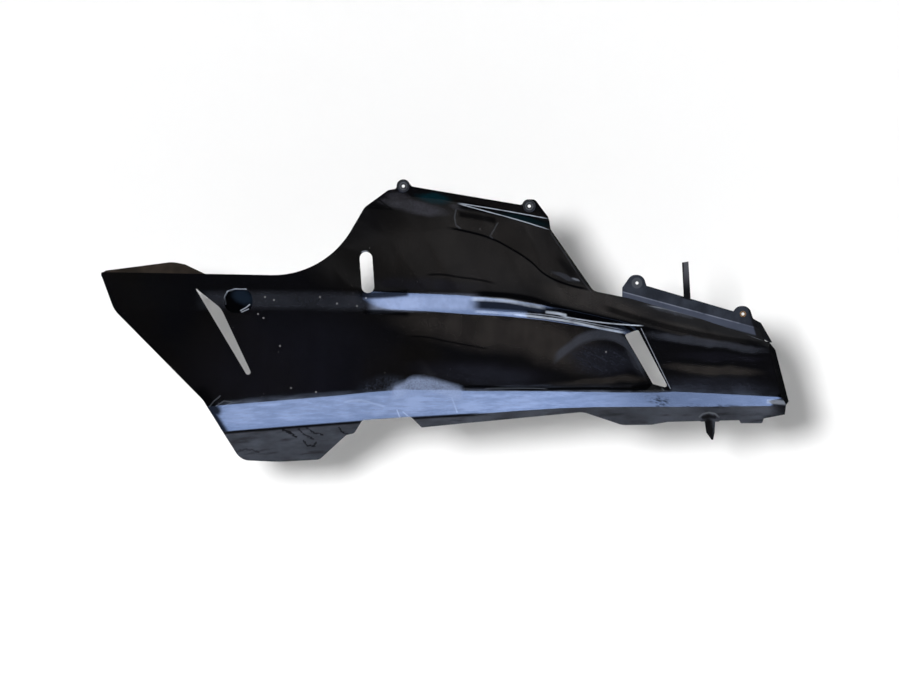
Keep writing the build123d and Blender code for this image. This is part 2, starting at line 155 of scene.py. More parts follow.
# Short light strokes that run too steeply for a line read along the part: painted highlights on the wing's
# and the vent's front edges and the pocket's rim, painted glints in the pocket, and light ticks, tufts and
# nicks
HIGHLIGHTS_AND_SCUFFS = {
    "rear tick": ([(456, 210), (454.5, 217), (456, 225), (460, 228)], 1.2, 0.06),
    "front tick": ([(497.5, 223), (494, 230), (490, 236), (492.5, 238)], 1.2, 0.05),
    "wing front edge": ([(551, 233.5), (566, 255.5), (580, 277.5), (591, 292)], 0.8, 0.03),
    "vent front edge": ([(641.0, 328.5), (670.2, 388.5)], 0.6, 0.45),
    "pocket rim": ([(225.6, 304), (224.8, 297), (227.6, 291.4), (235, 289.1), (246, 289.2)], 1.0, 0.75),
    "pocket glint": ([(240.5, 310.5), (246, 307.5), (249.5, 304.5)], 0.8, 0.8),
    "second pocket glint": ([(241.5, 312), (248.5, 309)], 0.7, 0.8),
    "tuft": ([(209, 407), (214, 401), (220, 396)], 0.9, 0.10),
    "second tuft": ([(216, 406), (224, 401), (232, 402)], 0.9, 0.10),
    "third tuft": ([(222, 407), (231, 403), (241, 401)], 0.9, 0.08),
    "chamfer nick": ([(397, 410), (400, 418)], 1.0, 0.40),
    "second chamfer nick": ([(403, 412), (409, 417)], 0.9, 0.35),
    "third chamfer nick": ([(452, 398), (457, 412)], 1.2, 0.25),
}

# Painted glints: small bright spots
GLINT_FIELDS = {
    "crease end": (576, 280, 5, 1.6, 22, 0.35),
    "slot rim": (364, 251.5, 4, 1.6, 0, 0.5),
}

# Soft changes of colour in the paint: painted reflection tones, painted highlights and sheen, worn places
# and dust
# Painted reflection: brown tones of the dark reflections
BROWN_FIELDS = {
    "wing": (480, 252, 135, 62, 0, 0.46),
    "recess floor": (500, 332, 130, 27, 7, 1.0),
    "recess floor's front": (548, 343, 80, 28, 22, 1.0),
    "shelf": (600, 381, 62, 6, -4, 1.0),
    "wing foot": (594, 302, 76, 15, 16, 1.0),
    "nose top": (690, 331, 70, 8, 13, 0.9),
    "nose flank": (712, 370, 60, 7, 4, 1.0),
}
# Painted reflection: navy tones of the dark reflections
NAVY_FIELDS = {
    "wing foot": (430, 285, 70, 9, 2, 0.9),
    "recess foot": (480, 373, 95, 15, 4, 1.0),
    "dish": (600, 360, 40, 19, 10, 1.0),
    "nose flank": (720, 357, 58, 6, 3, 0.9),
    "nose foot": (715, 386, 66, 10, 2, 1.0),
    "tail": (290, 365, 130, 75, 0, 0.75),
}
# Painted highlights: lighter grey on the nose's ridge, the dish's front flank, the crease's end and by the
# rail
GREY_FIELDS = {
    "nose ridge": (706, 342.5, 76, 6, 8, 0.85),
    "dish's front flank": (634, 355, 9, 26, -24, 0.55),
    "crease end": (564, 276.5, 20, 3.6, 24, 0.6),
    "rail seat": (672, 311, 36, 4.5, 11, 0.9),
}
# Hairy scuffs over a painted bluish sheen at the feet of the nose and the recess and in the dish
SCUFFS_AND_SHEEN_FIELDS = {
    "nose foot": (712, 385, 70, 13, 2, 0.7),
    "recess foot": (478, 376, 70, 13, 3, 0.55),
    "dish": (600, 360, 42, 20, 8, 1.0),
}
HAZE_FIELDS = {
    "smoke": (384, 390, 34, 18, -8, 0.08),
    "hump's shoulder": (402, 388, 24, 10, -18, 0.30),
}
HUMP = ([(390, 395), (404, 389), (416, 384), (428, 385), (444, 389), (464, 395)], 10.5)
WORN_FIELDS = {
    "flange": (414, 206.5, 44, 8.5, 9, 1.0),
    "by the rear tab": (398, 197, 18, 7, 10, 0.6),
    "before the joggle": (460, 207, 14, 4, 10, 0.5),
}
# Painted reflection: teal tones on the flange and in the joggle
TEAL_FIELDS = {
    "flange": (434, 198, 22, 7, 9, 0.95),
    "joggle": (524, 219, 34, 5, 13, 0.45),
}
DUSTY_BAND = ([(196, 300.5), (240, 300), (300, 300.5), (392, 302.5)], 12.0)
# Painted highlight: the lighter rim round the dish
DISH_RIM = ([(553, 360), (568, 348), (585, 337.5), (603, 334.5), (618, 338), (630, 349), (640, 366),
             (646, 376)], 7.5, 0.95)
# Painted reflections: the bright mirrored bands along the upper stripe and along the chamfer
STRIPE = ([(368, 304.5), (390, 303.5), (430, 302.5), (490, 305)], 11.0)
CHAMFER = ([(205, 420), (361, 406), (470, 402.5), (600, 399.5), (690, 400), (790, 402)], 18.0)

# Where the chamfer's painted reflection is dimmest, and where it is full
CHAMFER_FADE = (640.0, 540.0)

# Pocket in painted shade: its sides, its top and foot, and the depths in metres where its shade begins and
# is full
POCKET_ACROSS = (220.5, 256.5)
POCKET_DOWN = (285, 317)
POCKET_DEPTH = (-0.0125, -0.0115)
# Painted sheen in the pocket
POCKET_SHEEN = (243, 297.5, 15, 10, 30, 1.0)

# Specks of dirt: the radii where one ends and where it is full, and their middles
SPECK_EDGE = (1.4, 0.3)
SPECKS = [(258, 314), (265, 297), (280, 346), (291, 388), (316, 392), (263.5, 318), (606, 352),
          (274, 300), (320, 297), (337, 303.5), (357, 306), (366, 298)]

# Rail: its fold from end to end, where the band of painted light below the fold ends, the screw seat with
# the radii where it ends and where it is full, and the returned end, which leans forward as it falls
RAIL_FOLD = [(622, 291), (757.5, 327.5)]
RAIL_BAND = (7.2, 9.0)
RAIL_SEAT = (637, 283)
RAIL_SEAT_EDGE = (5.8, 5.0)
RAIL_END_X = 753.5
RAIL_END_LEAN = 0.3

# Tongue of the rail: its sides, its sloping foot, and where its lighter upper front begins and where it is
# full
TONGUE_SIDES = (680.5, 692)
TONGUE_FOOT = 297.5
TONGUE_SLOPE = 0.29
TONGUE_LIGHTER_ACROSS = (682.5, 685.0)
TONGUE_LIGHTER_DOWN = (292, 268)

# Bushes: their middles, and the inner and outer radius of the lighter ring
BUSHES = [(403.3, 186), (529.3, 206)]
BUSH_RIM = (3.0, 4.0)

# Black parts of the underside: painted shade on the front end wall, which turns away from the light, and
# the prong
BLACK_FIELDS = {
    "end wall": (779, 372, 22, 85, -13, 1.0),
    "prong": (709, 430, 8, 24, -8, 1.0),
}

# Boss of the prong: light on its rim and shade under it
BOSS_RIM = {
    "arc": ([(699.5, 417), (703, 413.8), (709, 412.4), (715, 413.6), (719, 417)], 1.3, 0.8),
}
BOSS_SHADE = {
    "under the arc": ([(703, 417.3), (709, 416.2), (715, 417.3)], 2.6, 0.9),
}

# Cracked scratches in the bare lobe
LOBE_SCRATCHES = {
    "long": ([(283, 429.5), (290, 433), (296, 437)], 1.6, 0.9),
    "second": ([(298, 429), (304, 435), (313, 439)], 1.3, 0.8),
    "third": ([(306, 427), (314, 433), (322, 435)], 1.2, 0.8),
    "hook": ([(303, 441), (307, 446), (314, 446), (316, 442)], 1.1, 0.8),
    "front": ([(338, 427), (342, 432), (347, 434)], 1.3, 0.8),
    "foot": ([(236, 452), (246, 449), (258, 452)], 1.5, 0.5),
}


class Term:
    """A shader socket that can stand in a Python expression."""

    def __init__(self, finish, socket):
        self.finish = finish
        self.socket = socket

    def sum(self, operation, first, second):
        return self.finish.node("ShaderNodeMath", {"operation": operation}, {0: first, 1: second})

    def __add__(self, other):
        return self.sum("ADD", self, other)

    def __radd__(self, other):
        return self.sum("ADD", other, self)

    def __sub__(self, other):
        return self.sum("SUBTRACT", self, other)

    def __rsub__(self, other):
        return self.sum("SUBTRACT", other, self)

    def __mul__(self, other):
        return self.sum("MULTIPLY", self, other)

    def __rmul__(self, other):
        return self.sum("MULTIPLY", other, self)

    def __truediv__(self, other):
        return self.sum("DIVIDE", self, other)

    def __abs__(self):
        return self.sum("ABSOLUTE", self, 0.0)

    def larger(self, other):
        return self.sum("MAXIMUM", self, other)

    def smaller(self, other):
        return self.sum("MINIMUM", self, other)


class Finish:
    """A node material, with places on the piece in pixels of the photograph."""

    def __init__(self, name, tree=None):
        self.material = None
        if tree is None:
            self.material = bpy.data.materials.new(name)
            self.material.use_nodes = True
            tree = self.material.node_tree
        self.tree = tree
        self.tree.nodes.clear()

    def place(self):
        """Makes the coordinates that a finish reads: metres, and pixels across and down the picture."""
        self.point = self.node("ShaderNodeTexCoord", out="Object")
        self.x, self.y, self.z = [self.node("ShaderNodeSeparateXYZ", {}, {0: self.point}, out=axis)
                                  for axis in "XYZ"]
        self.across = self.x / (PIXEL * MM) + ORIGIN_PX[0]
        self.down = ORIGIN_PX[1] - self.z / (PIXEL * MM)
        self.spot = self.node("ShaderNodeCombineXYZ", {}, {"X": self.across, "Y": self.down})

    def waver(self, scale, pixels):
        """Lets the fields that follow run unevenly, by about so many pixels."""
        cloud = self.node("ShaderNodeTexNoise", {},
                          {"Vector": self.point, "Scale": scale, "Detail": 3.0}, out="Color")
        middle = self.vector("SUBTRACT", cloud, (0.5, 0.5, 0.5))
        self.uneven = self.vector("ADD", self.spot, self.vector("MULTIPLY", middle, (pixels, pixels, 0)))

    def node(self, kind, settings=None, sockets=None, out=0):
        """Any node: its settings are set first, then the values or links of its sockets."""
        made = self.tree.nodes.new(kind)
        for name, value in (settings or {}).items():
            setattr(made, name, value)
        for name, value in (sockets or {}).items():
            if isinstance(value, Term):
                self.tree.links.new(value.socket, made.inputs[name])
            else:
                made.inputs[name].default_value = value
        return Term(self, made.outputs[out])

    def vector(self, operation, first, second=(0, 0, 0), out=0):
        return self.node("ShaderNodeVectorMath", {"operation": operation}, {0: first, 1: second}, out)

    def step(self, value, low, high):
        """Rises smoothly from 0 at low to 1 at high, or falls where low is the greater."""
        return self.node("ShaderNodeMapRange", {"interpolation_type": "SMOOTHSTEP"},
                         {"Value": value, "From Min": low, "From Max": high})

    def inside(self, value, low, high, soft):
        """One between low and high, with soft ends."""
        return self.step(value, low - soft, low + soft) * self.step(value, high + soft, high - soft)

    def noise(self, scale, detail=2.0, roughness=0.5, stretch=(1, 1, 1), turn=(0, 0, 0)):
        """Noise with scale features a metre, drawn out by stretch along turned axes."""
        vector = self.node("ShaderNodeMapping", {"vector_type": "TEXTURE"},
                           {"Vector": self.point, "Rotation": turn, "Scale": stretch})
        return self.node("ShaderNodeTexNoise", {},
                         {"Vector": vector, "Scale": scale, "Detail": detail, "Roughness": roughness})

    def any_of(self, masks):
        """The strongest of several masks."""
        drawn = masks[0]
        for mask in masks[1:]:
            drawn = drawn.larger(mask)
        return drawn

    def ring(self, x, y):
        """Distance in pixels from a place in the picture."""
        return self.vector("LENGTH", self.vector("SUBTRACT", self.spot, (x, y, 0)), out="Value")

    def field(self, x, y, wide, high, turn, strength):
        """A soft uneven oval, full at its middle and gone at its edge."""
        local = self.node("ShaderNodeMapping", {"vector_type": "TEXTURE"},
                          {"Vector": self.uneven, "Location": (x, y, 0), "Rotation": (0, 0, radians(turn)),
                           "Scale": (wide, high, 1)})
        return self.step(self.vector("LENGTH", local, out="Value"), 1.0, FIELD_CORE) * strength

    def fields(self, marks):
        return self.any_of([self.field(*mark) for mark in marks.values()])

    def stroke(self, start, end, width):
        """A soft straight line."""
        start, end = Vector((*start, 0)), Vector((*end, 0))
        run = end - start
        off = self.vector("SUBTRACT", self.spot, start)
        share = self.vector("DOT_PRODUCT", off, run / run.length_squared, out="Value")
        share = share.larger(0.0).smaller(1.0)
        nearest = self.node("ShaderNodeVectorMath", {"operation": "SCALE"}, {0: run, "Scale": share})
        return self.step(self.vector("DISTANCE", off, nearest, out="Value"), width, width * STROKE_CORE)

    # Strokes through points, for scuffs and scratches and for painted shade, highlights and glints
    def scuffs(self, marks):
        return self.any_of([self.stroke(start, end, width) * strength
                            for points, width, strength in marks.values()
                            for start, end in zip(points, points[1:])])

    def line(self, points, width, strength=1.0):
        """A soft curve through points that follow each other across the picture, faded at its ends."""
        left, right = points[0][0], points[-1][0]
        high, low = min(y for _, y in points), max(y for _, y in points) + 0.01
        share = (self.across - left) / (right - left)
        curve = self.node("ShaderNodeFloatCurve", {}, {"Value": share})
        mapping = curve.socket.node.mapping
        stops = mapping.curves[0].points
        for x, y in points[1:-1]:
            stops.new((x - left) / (right - left), (y - high) / (low - high))
        stops[0].location = (0, (points[0][1] - high) / (low - high))
        stops[-1].location = (1, (points[-1][1] - high) / (low - high))
        mapping.update()
        off = abs(self.down - (curve * (low - high) + high))
        faded = self.inside(share, 0.03, 0.97, soft=0.05)
        return self.step(off, width, width * LINE_CORE) * faded * strength

    def lines(self, marks):
        return self.any_of([self.line(*mark) for mark in marks.values()])

    def mix(self, share, first, second):
        """Blend of two colours."""
        return self.node("ShaderNodeMix", {"data_type": "RGBA"},
                         {"Factor": share, 6: first, 7: second}, out=2)

    def bump(self, height, strength, distance, normal=None):
        sockets = {"Strength": strength, "Distance": distance, "Height": height}
        if normal is not None:
            sockets["Normal"] = normal
        return self.node("ShaderNodeBump", {}, sockets)

    def surface(self, **sockets):
        """Ends the material in one principled shader, with socket names in lower case."""
        values = {name.replace("_", " "): value for name, value in sockets.items()}
        shader = self.tree.nodes.new("ShaderNodeBsdfPrincipled")
        for socket in shader.inputs:
            value = values.pop(socket.name.lower(), None)
            if isinstance(value, Term):
                self.tree.links.new(value.socket, socket)
            elif value is not None:
                socket.default_value = value
        return self.ends_in(Term(self, shader.outputs[0]))

    def ends_in(self, shader):
        output = self.tree.nodes.new("ShaderNodeOutputMaterial")
        self.tree.links.new(shader.socket, output.inputs["Surface"])
        return self.material


def rgb(red, green, blue):
    return (red, green, blue, 1.0)


# Colours of the finishes; among them are the colours of painted reflections, highlights and shade
PAINT = {
    "black": rgb(0.0020, 0.0021, 0.0030),
    "warm black": rgb(0.0030, 0.0027, 0.0026),
    "brown": rgb(0.0245, 0.0218, 0.0206),
    "navy": rgb(0.0056, 0.0057, 0.0092),
    "scuffed": rgb(0.0165, 0.0190, 0.0275),
    "grey": rgb(0.045, 0.050, 0.066),
    "worn": rgb(0.037, 0.037, 0.046),
    "chamfer": rgb(0.15, 0.18, 0.26),
    "stripe": rgb(0.19, 0.22, 0.31),
    "dark": rgb(0.0012, 0.0013, 0.0018),
    "teal": rgb(0.0012, 0.0130, 0.0185),
    "pocket sheen": rgb(0.0070, 0.0125, 0.0220),
    "light": rgb(0.44, 0.49, 0.58),
    "haze": rgb(0.20, 0.25, 0.38),
    "specks": rgb(0.33, 0.33, 0.34),
}
BARE = {
    "rubbed": rgb(0.017, 0.017, 0.019),
    "inside": rgb(0.040, 0.041, 0.044),
    "dusty inside": rgb(0.056, 0.058, 0.062),
    "inside scratch": rgb(0.10, 0.10, 0.11),
    "underside": rgb(0.042, 0.046, 0.057),
    "dusty underside": rgb(0.077, 0.085, 0.108),
    "black": rgb(0.006, 0.006, 0.007),
    "boss shade": rgb(0.005, 0.005, 0.006),
    "boss rim": rgb(0.12, 0.13, 0.15),
    "lobe scratch": rgb(0.004, 0.004, 0.005),
    "flap": rgb(0.016, 0.012, 0.009),
    "dusty flap": rgb(0.036, 0.027, 0.021),
}
RAIL = {
    "faded": rgb(0.017, 0.020, 0.028),
    "dusty": rgb(0.034, 0.040, 0.055),
    "band": rgb(0.064, 0.076, 0.114),
    "fold": rgb(0.20, 0.22, 0.28),
    "below the band": rgb(0.010, 0.010, 0.012),
    "black": rgb(0.006, 0.006, 0.007),
    "lighter tongue": rgb(0.070, 0.072, 0.082),
    "screw seat": rgb(0.085, 0.090, 0.105),
}
BUSH = {
    "rubber": rgb(0.010, 0.010, 0.011),
    "greyed": rgb(0.024, 0.025, 0.028),
    "rim": rgb(0.13, 0.14, 0.16),
}
BRASS = {
    "bright": rgb(0.42, 0.25, 0.10),
    "tarnished": rgb(0.14, 0.075, 0.035),
}


def gloss_paint():
    """Gloss black paint with dust, smears, scuffs and worn edges, and with painted reflections, highlights
    and shade.
    """
    f = Finish("gloss_black_paint")
    f.place()
    f.waver(scale=45.0, pixels=8.0)
    broad = f.noise(8.0, detail=3.0)
    cloud = f.noise(26.0, detail=4.0, roughness=0.55)
    streaks = f.noise(60.0, detail=3.0, stretch=(1, 1, 7), turn=(0, radians(6), 0))
    hairs = f.noise(420.0, detail=4.0, roughness=0.65, stretch=(4, 1, 1), turn=(0, radians(32), 0))
    grit = f.noise(520.0, detail=3.0, roughness=0.6)
    patchy = 0.55 + f.step(cloud * 0.55 + streaks * 0.45, 0.36, 0.64) * 0.45
    hairy = hairs * 0.6 + cloud * 0.4

    # Broad colours of the paint with its painted brown and navy reflection tones, then scuffs over a
    # painted bluish sheen, dust with painted grey highlights, worn places, and painted reflections along
    # the chamfer and the stripe
    colour = f.mix(f.step(broad, 0.40, 0.60), PAINT["black"], PAINT["warm black"])
    brown = f.fields(BROWN_FIELDS) * patchy
    colour = f.mix(brown, colour, PAINT["brown"])
    navy = f.fields(NAVY_FIELDS) * patchy
    colour = f.mix(navy, colour, PAINT["navy"])
    scuffed = f.fields(SCUFFS_AND_SHEEN_FIELDS)
    colour = f.mix(scuffed * (0.3 + f.step(hairy, 0.44, 0.66) * 0.7), colour, PAINT["scuffed"])
    dust = f.line(*DUSTY_BAND) * (0.06 + cloud * 0.42 + f.step(grit, 0.60, 0.72) * 0.4)
    # Painted grey highlights on the ridges, round the dish and at the crease's end; dust and pits take the
    # same grey
    grey_highlights = f.fields(GREY_FIELDS).larger(f.line(*DISH_RIM))
    pitted = scuffed * f.step(grit, 0.60, 0.76) * 0.6
    grey = (grey_highlights * (0.2 + grit * 0.4 + streaks * 0.5)).larger(dust).larger(pitted)
    colour = f.mix(grey, colour, PAINT["grey"])
    worn = f.fields(WORN_FIELDS) * (0.55 + f.step(grit * 0.35 + cloud * 0.65, 0.40, 0.62) * 0.45)
    colour = f.mix(worn, colour, PAINT["worn"])
    drawn = f.noise(170.0, detail=4.0, roughness=0.6, stretch=(5, 1, 1), turn=(0, radians(-4), 0))
    # Painted reflection of the mirrored light along the chamfer, dimmer towards the nose
    chamfer = f.line(*CHAMFER) * (0.25 + f.step(cloud * 0.4 + drawn * 0.6, 0.38, 0.64) * 0.75)
    chamfer = chamfer * (0.25 + f.step(f.across, *CHAMFER_FADE) * 0.75)
    colour = f.mix(chamfer * 0.9, colour, PAINT["chamfer"])
    # Painted reflection of the mirrored light along the upper stripe
    stripe = f.line(*STRIPE) * patchy
    colour = f.mix(stripe, colour, PAINT["stripe"])

    # Painted shade and dark reflections, darker hairy patches and the pocket's painted shade, then what
    # lies over them: painted teal reflections, the pocket's painted sheen, painted highlights, glints and
    # light scuffs, haze and specks
    hairy_dark = f.fields(HAIRY_DARK_FIELDS) * f.step(hairy, 0.46, 0.56)
    dark = f.lines(DARK_LINES).larger(f.scuffs(PAINTED_SHADE_STROKES)).larger(f.fields(DARK_REFLECTION_FIELDS)).larger(hairy_dark)
    pocket = f.inside(f.across, *POCKET_ACROSS, SOFT) * f.inside(f.down, *POCKET_DOWN, SOFT)
    pocket = pocket * f.step(f.y, *POCKET_DEPTH)
    dark = dark.larger(pocket)
    colour = f.mix(dark, colour, PAINT["dark"])
    colour = f.mix(f.fields(TEAL_FIELDS), colour, PAINT["teal"])
    colour = f.mix(pocket * f.field(*POCKET_SHEEN), colour, PAINT["pocket sheen"])
    light = f.lines(LIGHT_LINES).larger(f.scuffs(HIGHLIGHTS_AND_SCUFFS)).larger(f.fields(GLINT_FIELDS))
    light = light * (0.55 + f.step(streaks, 0.3, 0.55) * 0.45)
    colour = f.mix(light, colour, PAINT["light"])
    wisps = f.step(streaks * 0.5 + grit * 0.5, 0.36, 0.62)
    haze = (f.fields(HAZE_FIELDS) * wisps).larger(f.line(*HUMP) * (0.6 + wisps * 0.4))
    colour = f.mix(haze, colour, PAINT["haze"])
    dirt = f.step(f.noise(330.0, detail=1.0), 0.775, 0.81) * f.step(broad, 0.45, 0.62)
    specks = f.any_of([f.step(f.ring(*place), *SPECK_EDGE) for place in SPECKS] + [dirt * 0.5]) * 0.5
    colour = f.mix(specks, colour, PAINT["specks"])

    coat = (1.0 - dark - worn * 0.5 - haze * 0.6).larger(0.0)
    roughness = 0.10 + brown * 0.08 + grey * 0.25 + worn * 0.3 + specks * 0.4
    wave = f.noise(13.0, detail=1.0) + f.noise(45.0, detail=1.0) * 0.12
    edge = f.node("ShaderNodeBevel", {"samples": 6}, {"Radius": EDGE_R})
    return f.surface(base_color=colour, roughness=roughness, specular_ior_level=0.03, coat_weight=coat,
                     coat_roughness=0.04, normal=f.bump(wave, strength=1.0, distance=0.0006, normal=edge))


def bare_plastic(name, low, high, rubbing):
    """Starts a bare matt plastic: its finish, its colour and its moulded grain."""
    f = Finish(name)
    f.place()
    f.waver(scale=260.0, pixels=5.0)
    grain = f.noise(1400.0, detail=2.0)
    cloud = f.noise(24.0, detail=4.0, roughness=0.6)
    rubbed = f.step(f.noise(80.0, detail=5.0, stretch=(4, 1, 1), turn=(0, radians(-20), 0)), 0.50, 0.72)
    colour = f.mix(f.step(cloud, 0.3, 0.75), low, high)
    colour = f.mix(rubbed * rubbing, colour, BARE["rubbed"])
    return f, colour, grain


def inside_plastic():
    """Bare moulding of the inside, with dust and a few long scratches."""
    f, colour, grain = bare_plastic("inside_black_plastic", BARE["inside"], BARE["dusty inside"],
                                    rubbing=0.25)
    scratched = f.step(f.noise(150.0, detail=3.0, stretch=(14, 1, 1), turn=(0, radians(14), 0)), 0.66, 0.74)
    colour = f.mix(scratched * 0.4, colour, BARE["inside scratch"])
    return f.surface(base_color=colour, roughness=0.55 + grain * 0.12, specular_ior_level=0.2,
                     normal=f.bump(grain, strength=0.25, distance=0.0004))


def underside_plastic():
    """Bare scratched moulding of the underside, its lobes and the front end wall."""
    f, colour, grain = bare_plastic("underside_black_plastic", BARE["underside"], BARE["dusty underside"],
                                    rubbing=0.75)
    # Black on the prong and along the chamfer's foot, and painted shade on the end wall
    colour = f.mix(f.fields(BLACK_FIELDS).larger(f.line(*CHAMFER_FOOT)), colour, BARE["black"])
    colour = f.mix(f.scuffs(BOSS_SHADE), colour, BARE["boss shade"])
    colour = f.mix(f.scuffs(BOSS_RIM), colour, BARE["boss rim"])
    # The scratches in the lobe have crooked edges
    f.spot = f.uneven
    colour = f.mix(f.scuffs(LOBE_SCRATCHES), colour, BARE["lobe scratch"])
    return f.surface(base_color=colour, roughness=0.62 + grain * 0.12, specular_ior_level=0.0,
                     normal=f.bump(grain, strength=0.25, distance=0.0004))


def flap_plastic():
    """Brownish dusty plastic of the tail's folded flap."""
    f = Finish("dusty_brown_plastic")
    f.place()
    grain = f.noise(700.0, detail=3.0)
    cloud = f.noise(40.0, detail=4.0)
    colour = f.mix(f.step(cloud, 0.35, 0.7), BARE["flap"], BARE["dusty flap"])
    return f.surface(base_color=colour, roughness=0.7 + grain * 0.1, specular_ior_level=0.05,
                     normal=f.bump(grain, strength=0.3, distance=0.0005))


def rail_plastic():
    """Faded matt moulding of the rail: painted light on the band below its fold, with a painted highlight
    on the fold and painted shade below the band, black on its tongue, and painted shade on its returned
    end.
    """
    f = Finish("faded_matt_plastic")
    f.place()
    grain = f.noise(1300.0, detail=2.0)
    cloud = f.noise(60.0, detail=4.0, roughness=0.6)
    colour = f.mix(f.step(cloud, 0.3, 0.72), RAIL["faded"], RAIL["dusty"])
    (left, top), (right, foot) = RAIL_FOLD
    below = f.down - (f.across - left) * ((foot - top) / (right - left)) - top
    # Painted light on the up-facing band below the fold, a painted highlight on the fold, and painted
    # shadow below the band
    colour = f.mix(f.step(below, -0.6, 0.8) * (0.45 + cloud * 0.7), colour, RAIL["band"])
    colour = f.mix(f.inside(below, 0.3, 1.1, soft=0.5) * f.step(cloud, 0.3, 0.6), colour, RAIL["fold"])
    colour = f.mix(f.step(below, *RAIL_BAND), colour, RAIL["below the band"])
    tongue_rear, tongue_front = TONGUE_SIDES
    above = f.step(f.down - (f.across - tongue_rear) * TONGUE_SLOPE, TONGUE_FOOT + 0.5, TONGUE_FOOT - 0.5)
    tongue = f.inside(f.across, tongue_rear, tongue_front, soft=0.2) * above
    # Black on the tongue, and painted shade on the returned end, which turns away
    returned = f.step(f.across - (f.down - foot) * RAIL_END_LEAN, RAIL_END_X - SOFT, RAIL_END_X + SOFT)
    colour = f.mix(tongue.larger(returned), colour, RAIL["black"])
    # Lighter towards the tongue's top and front
    worn = f.step(f.down, *TONGUE_LIGHTER_DOWN) * f.step(f.across, *TONGUE_LIGHTER_ACROSS)
    colour = f.mix(tongue * worn, colour, RAIL["lighter tongue"])
    colour = f.mix(f.step(f.ring(*RAIL_SEAT), *RAIL_SEAT_EDGE) * 0.6, colour, RAIL["screw seat"])
    return f.surface(base_color=colour, roughness=0.55 + grain * 0.15, specular_ior_level=0.15,
                     normal=f.bump(grain, strength=0.25, distance=0.0004))


def bush_rubber():
    """Greyed rubber of the bushes, with a lighter ring about each bore."""
    f = Finish("greyed_bush_rubber")
    f.place()
    grain = f.noise(900.0, detail=3.0)
    rear, front = [f.ring(*place) for place in BUSHES]
    rim = f.inside(rear.smaller(front), *BUSH_RIM, soft=0.5)
    colour = f.mix(f.step(grain, 0.3, 0.7), BUSH["rubber"], BUSH["greyed"])
    colour = f.mix(rim * f.step(grain, 0.3, 0.6), colour, BUSH["rim"])
    return f.surface(base_color=colour, roughness=0.5 + grain * 0.2,
                     normal=f.bump(grain, strength=0.2, distance=0.0003))


def insert_brass():
    """Dull brass with brown tarnish."""
    f = Finish("tarnished_insert_brass")
    f.place()
    stain = f.noise(600.0, detail=4.0)
    colour = f.mix(f.step(stain, 0.35, 0.65), BRASS["bright"], BRASS["tarnished"])
    return f.surface(base_color=colour, metallic=0.5, roughness=0.40 + stain * 0.3)


def merged_copy(node, name):
    """A node's triangles as one closed mesh, smooth but for its real edges."""
    bm = bmesh.new()
    bm.from_mesh(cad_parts[node].data)
    bmesh.ops.remove_doubles(bm, verts=bm.verts, dist=MERGE)
    bmesh.ops.dissolve_degenerate(bm, edges=bm.edges, dist=MERGE)
    narrow = {face: 2 * face.calc_area() / max(edge.calc_length() for edge in face.edges) < STRIP_WIDTH
              for face in bm.faces}
    for edge in bm.edges:
        limit = ROUND_ANGLE if any(narrow[face] for face in edge.link_faces) else SHARP_ANGLE
        edge.smooth = len(edge.link_faces) == 2 and degrees(edge.calc_face_angle(pi)) < limit
    for face in bm.faces:
        face.smooth = True
        face.material_index = 0
    mesh = bpy.data.meshes.new(name)
    bm.to_mesh(mesh)
    bm.free()
    if "custom_normal" in mesh.attributes:
        mesh.attributes.remove(mesh.attributes["custom_normal"])
    piece = bpy.data.objects.new(name, mesh)
    bpy.context.scene.collection.objects.link(piece)
    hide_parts(node)
    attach(piece, "root")
    return piece


def painted_shell():
    """The shell, painted outside, bare on its inside and underside, with its dusty tail flap."""
    piece = merged_copy("shell", "painted_shell")
    for finish in (gloss_paint(), inside_plastic(), underside_plastic(), flap_plastic()):
        piece.data.materials.append(finish)
    paint, inside, underside, flap = range(4)
    (left, right), (foot, top), (front, back) = PRONG_BOX
    for face in piece.data.polygons:
        x, y, z = face.center
        tilt = degrees(atan2(face.normal.z, max(-face.normal.y, 1e-6)))
        on_prong = left < x < right and foot < z < top and front < y < back
        if on_prong or face.normal.x > END_WALL_TURN or (tilt < UNDERSIDE_TILT and z < UNDERSIDE_TOP_Z):
            face.material_index = underside
        elif face.normal.y > INSIDE_TURN:
            face.material_index = inside
        elif x < FLAP_FRONT_X and (z > FLAP_FOOT_Z or tilt > FLAP_TILT):
            face.material_index = flap
        else:
            face.material_index = paint
    return piece


def dress(node, finish):
    """Gives a node of the frame its finish."""
    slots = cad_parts[node].data.materials
    slots.clear()
    slots.append(finish)


def lamp(name, energy, angle, aim):
    """A distant light that shines along aim and doesn't show in the gloss."""
    data = bpy.data.lights.new(name, "SUN")
    data.energy = energy
    data.angle = radians(angle)
    light = bpy.data.objects.new(name, data)
    light.rotation_euler = Vector(aim).to_track_quat("-Z", "Y").to_euler()
    light.visible_glossy = False
    bpy.context.scene.collection.objects.link(light)


def stage_sheet(name, corners, finish):
    """A flat sheet of the set."""
    bm = bmesh.new()
    bm.faces.new([bm.verts.new(corner) for corner in corners])
    mesh = bpy.data.meshes.new(name)
    bm.to_mesh(mesh)
    bm.free()
    mesh.materials.append(finish)
    sheet = bpy.data.objects.new(name, mesh)
    bpy.context.scene.collection.objects.link(sheet)
    return sheet


def level_sheet(name, half_width, front, back, height, finish):
    """A level sheet of the set, by its reach to the sides and in depth."""
    return stage_sheet(name, [(-half_width, front, height), (half_width, front, height),
                              (half_width, back, height), (-half_width, back, height)], finish)


def only_mirrored(sheet):
    """Leaves a piece of the set to show in the gloss alone."""
    sheet.visible_camera = False
    sheet.visible_diffuse = False
    sheet.visible_transmission = False
    sheet.visible_shadow = False


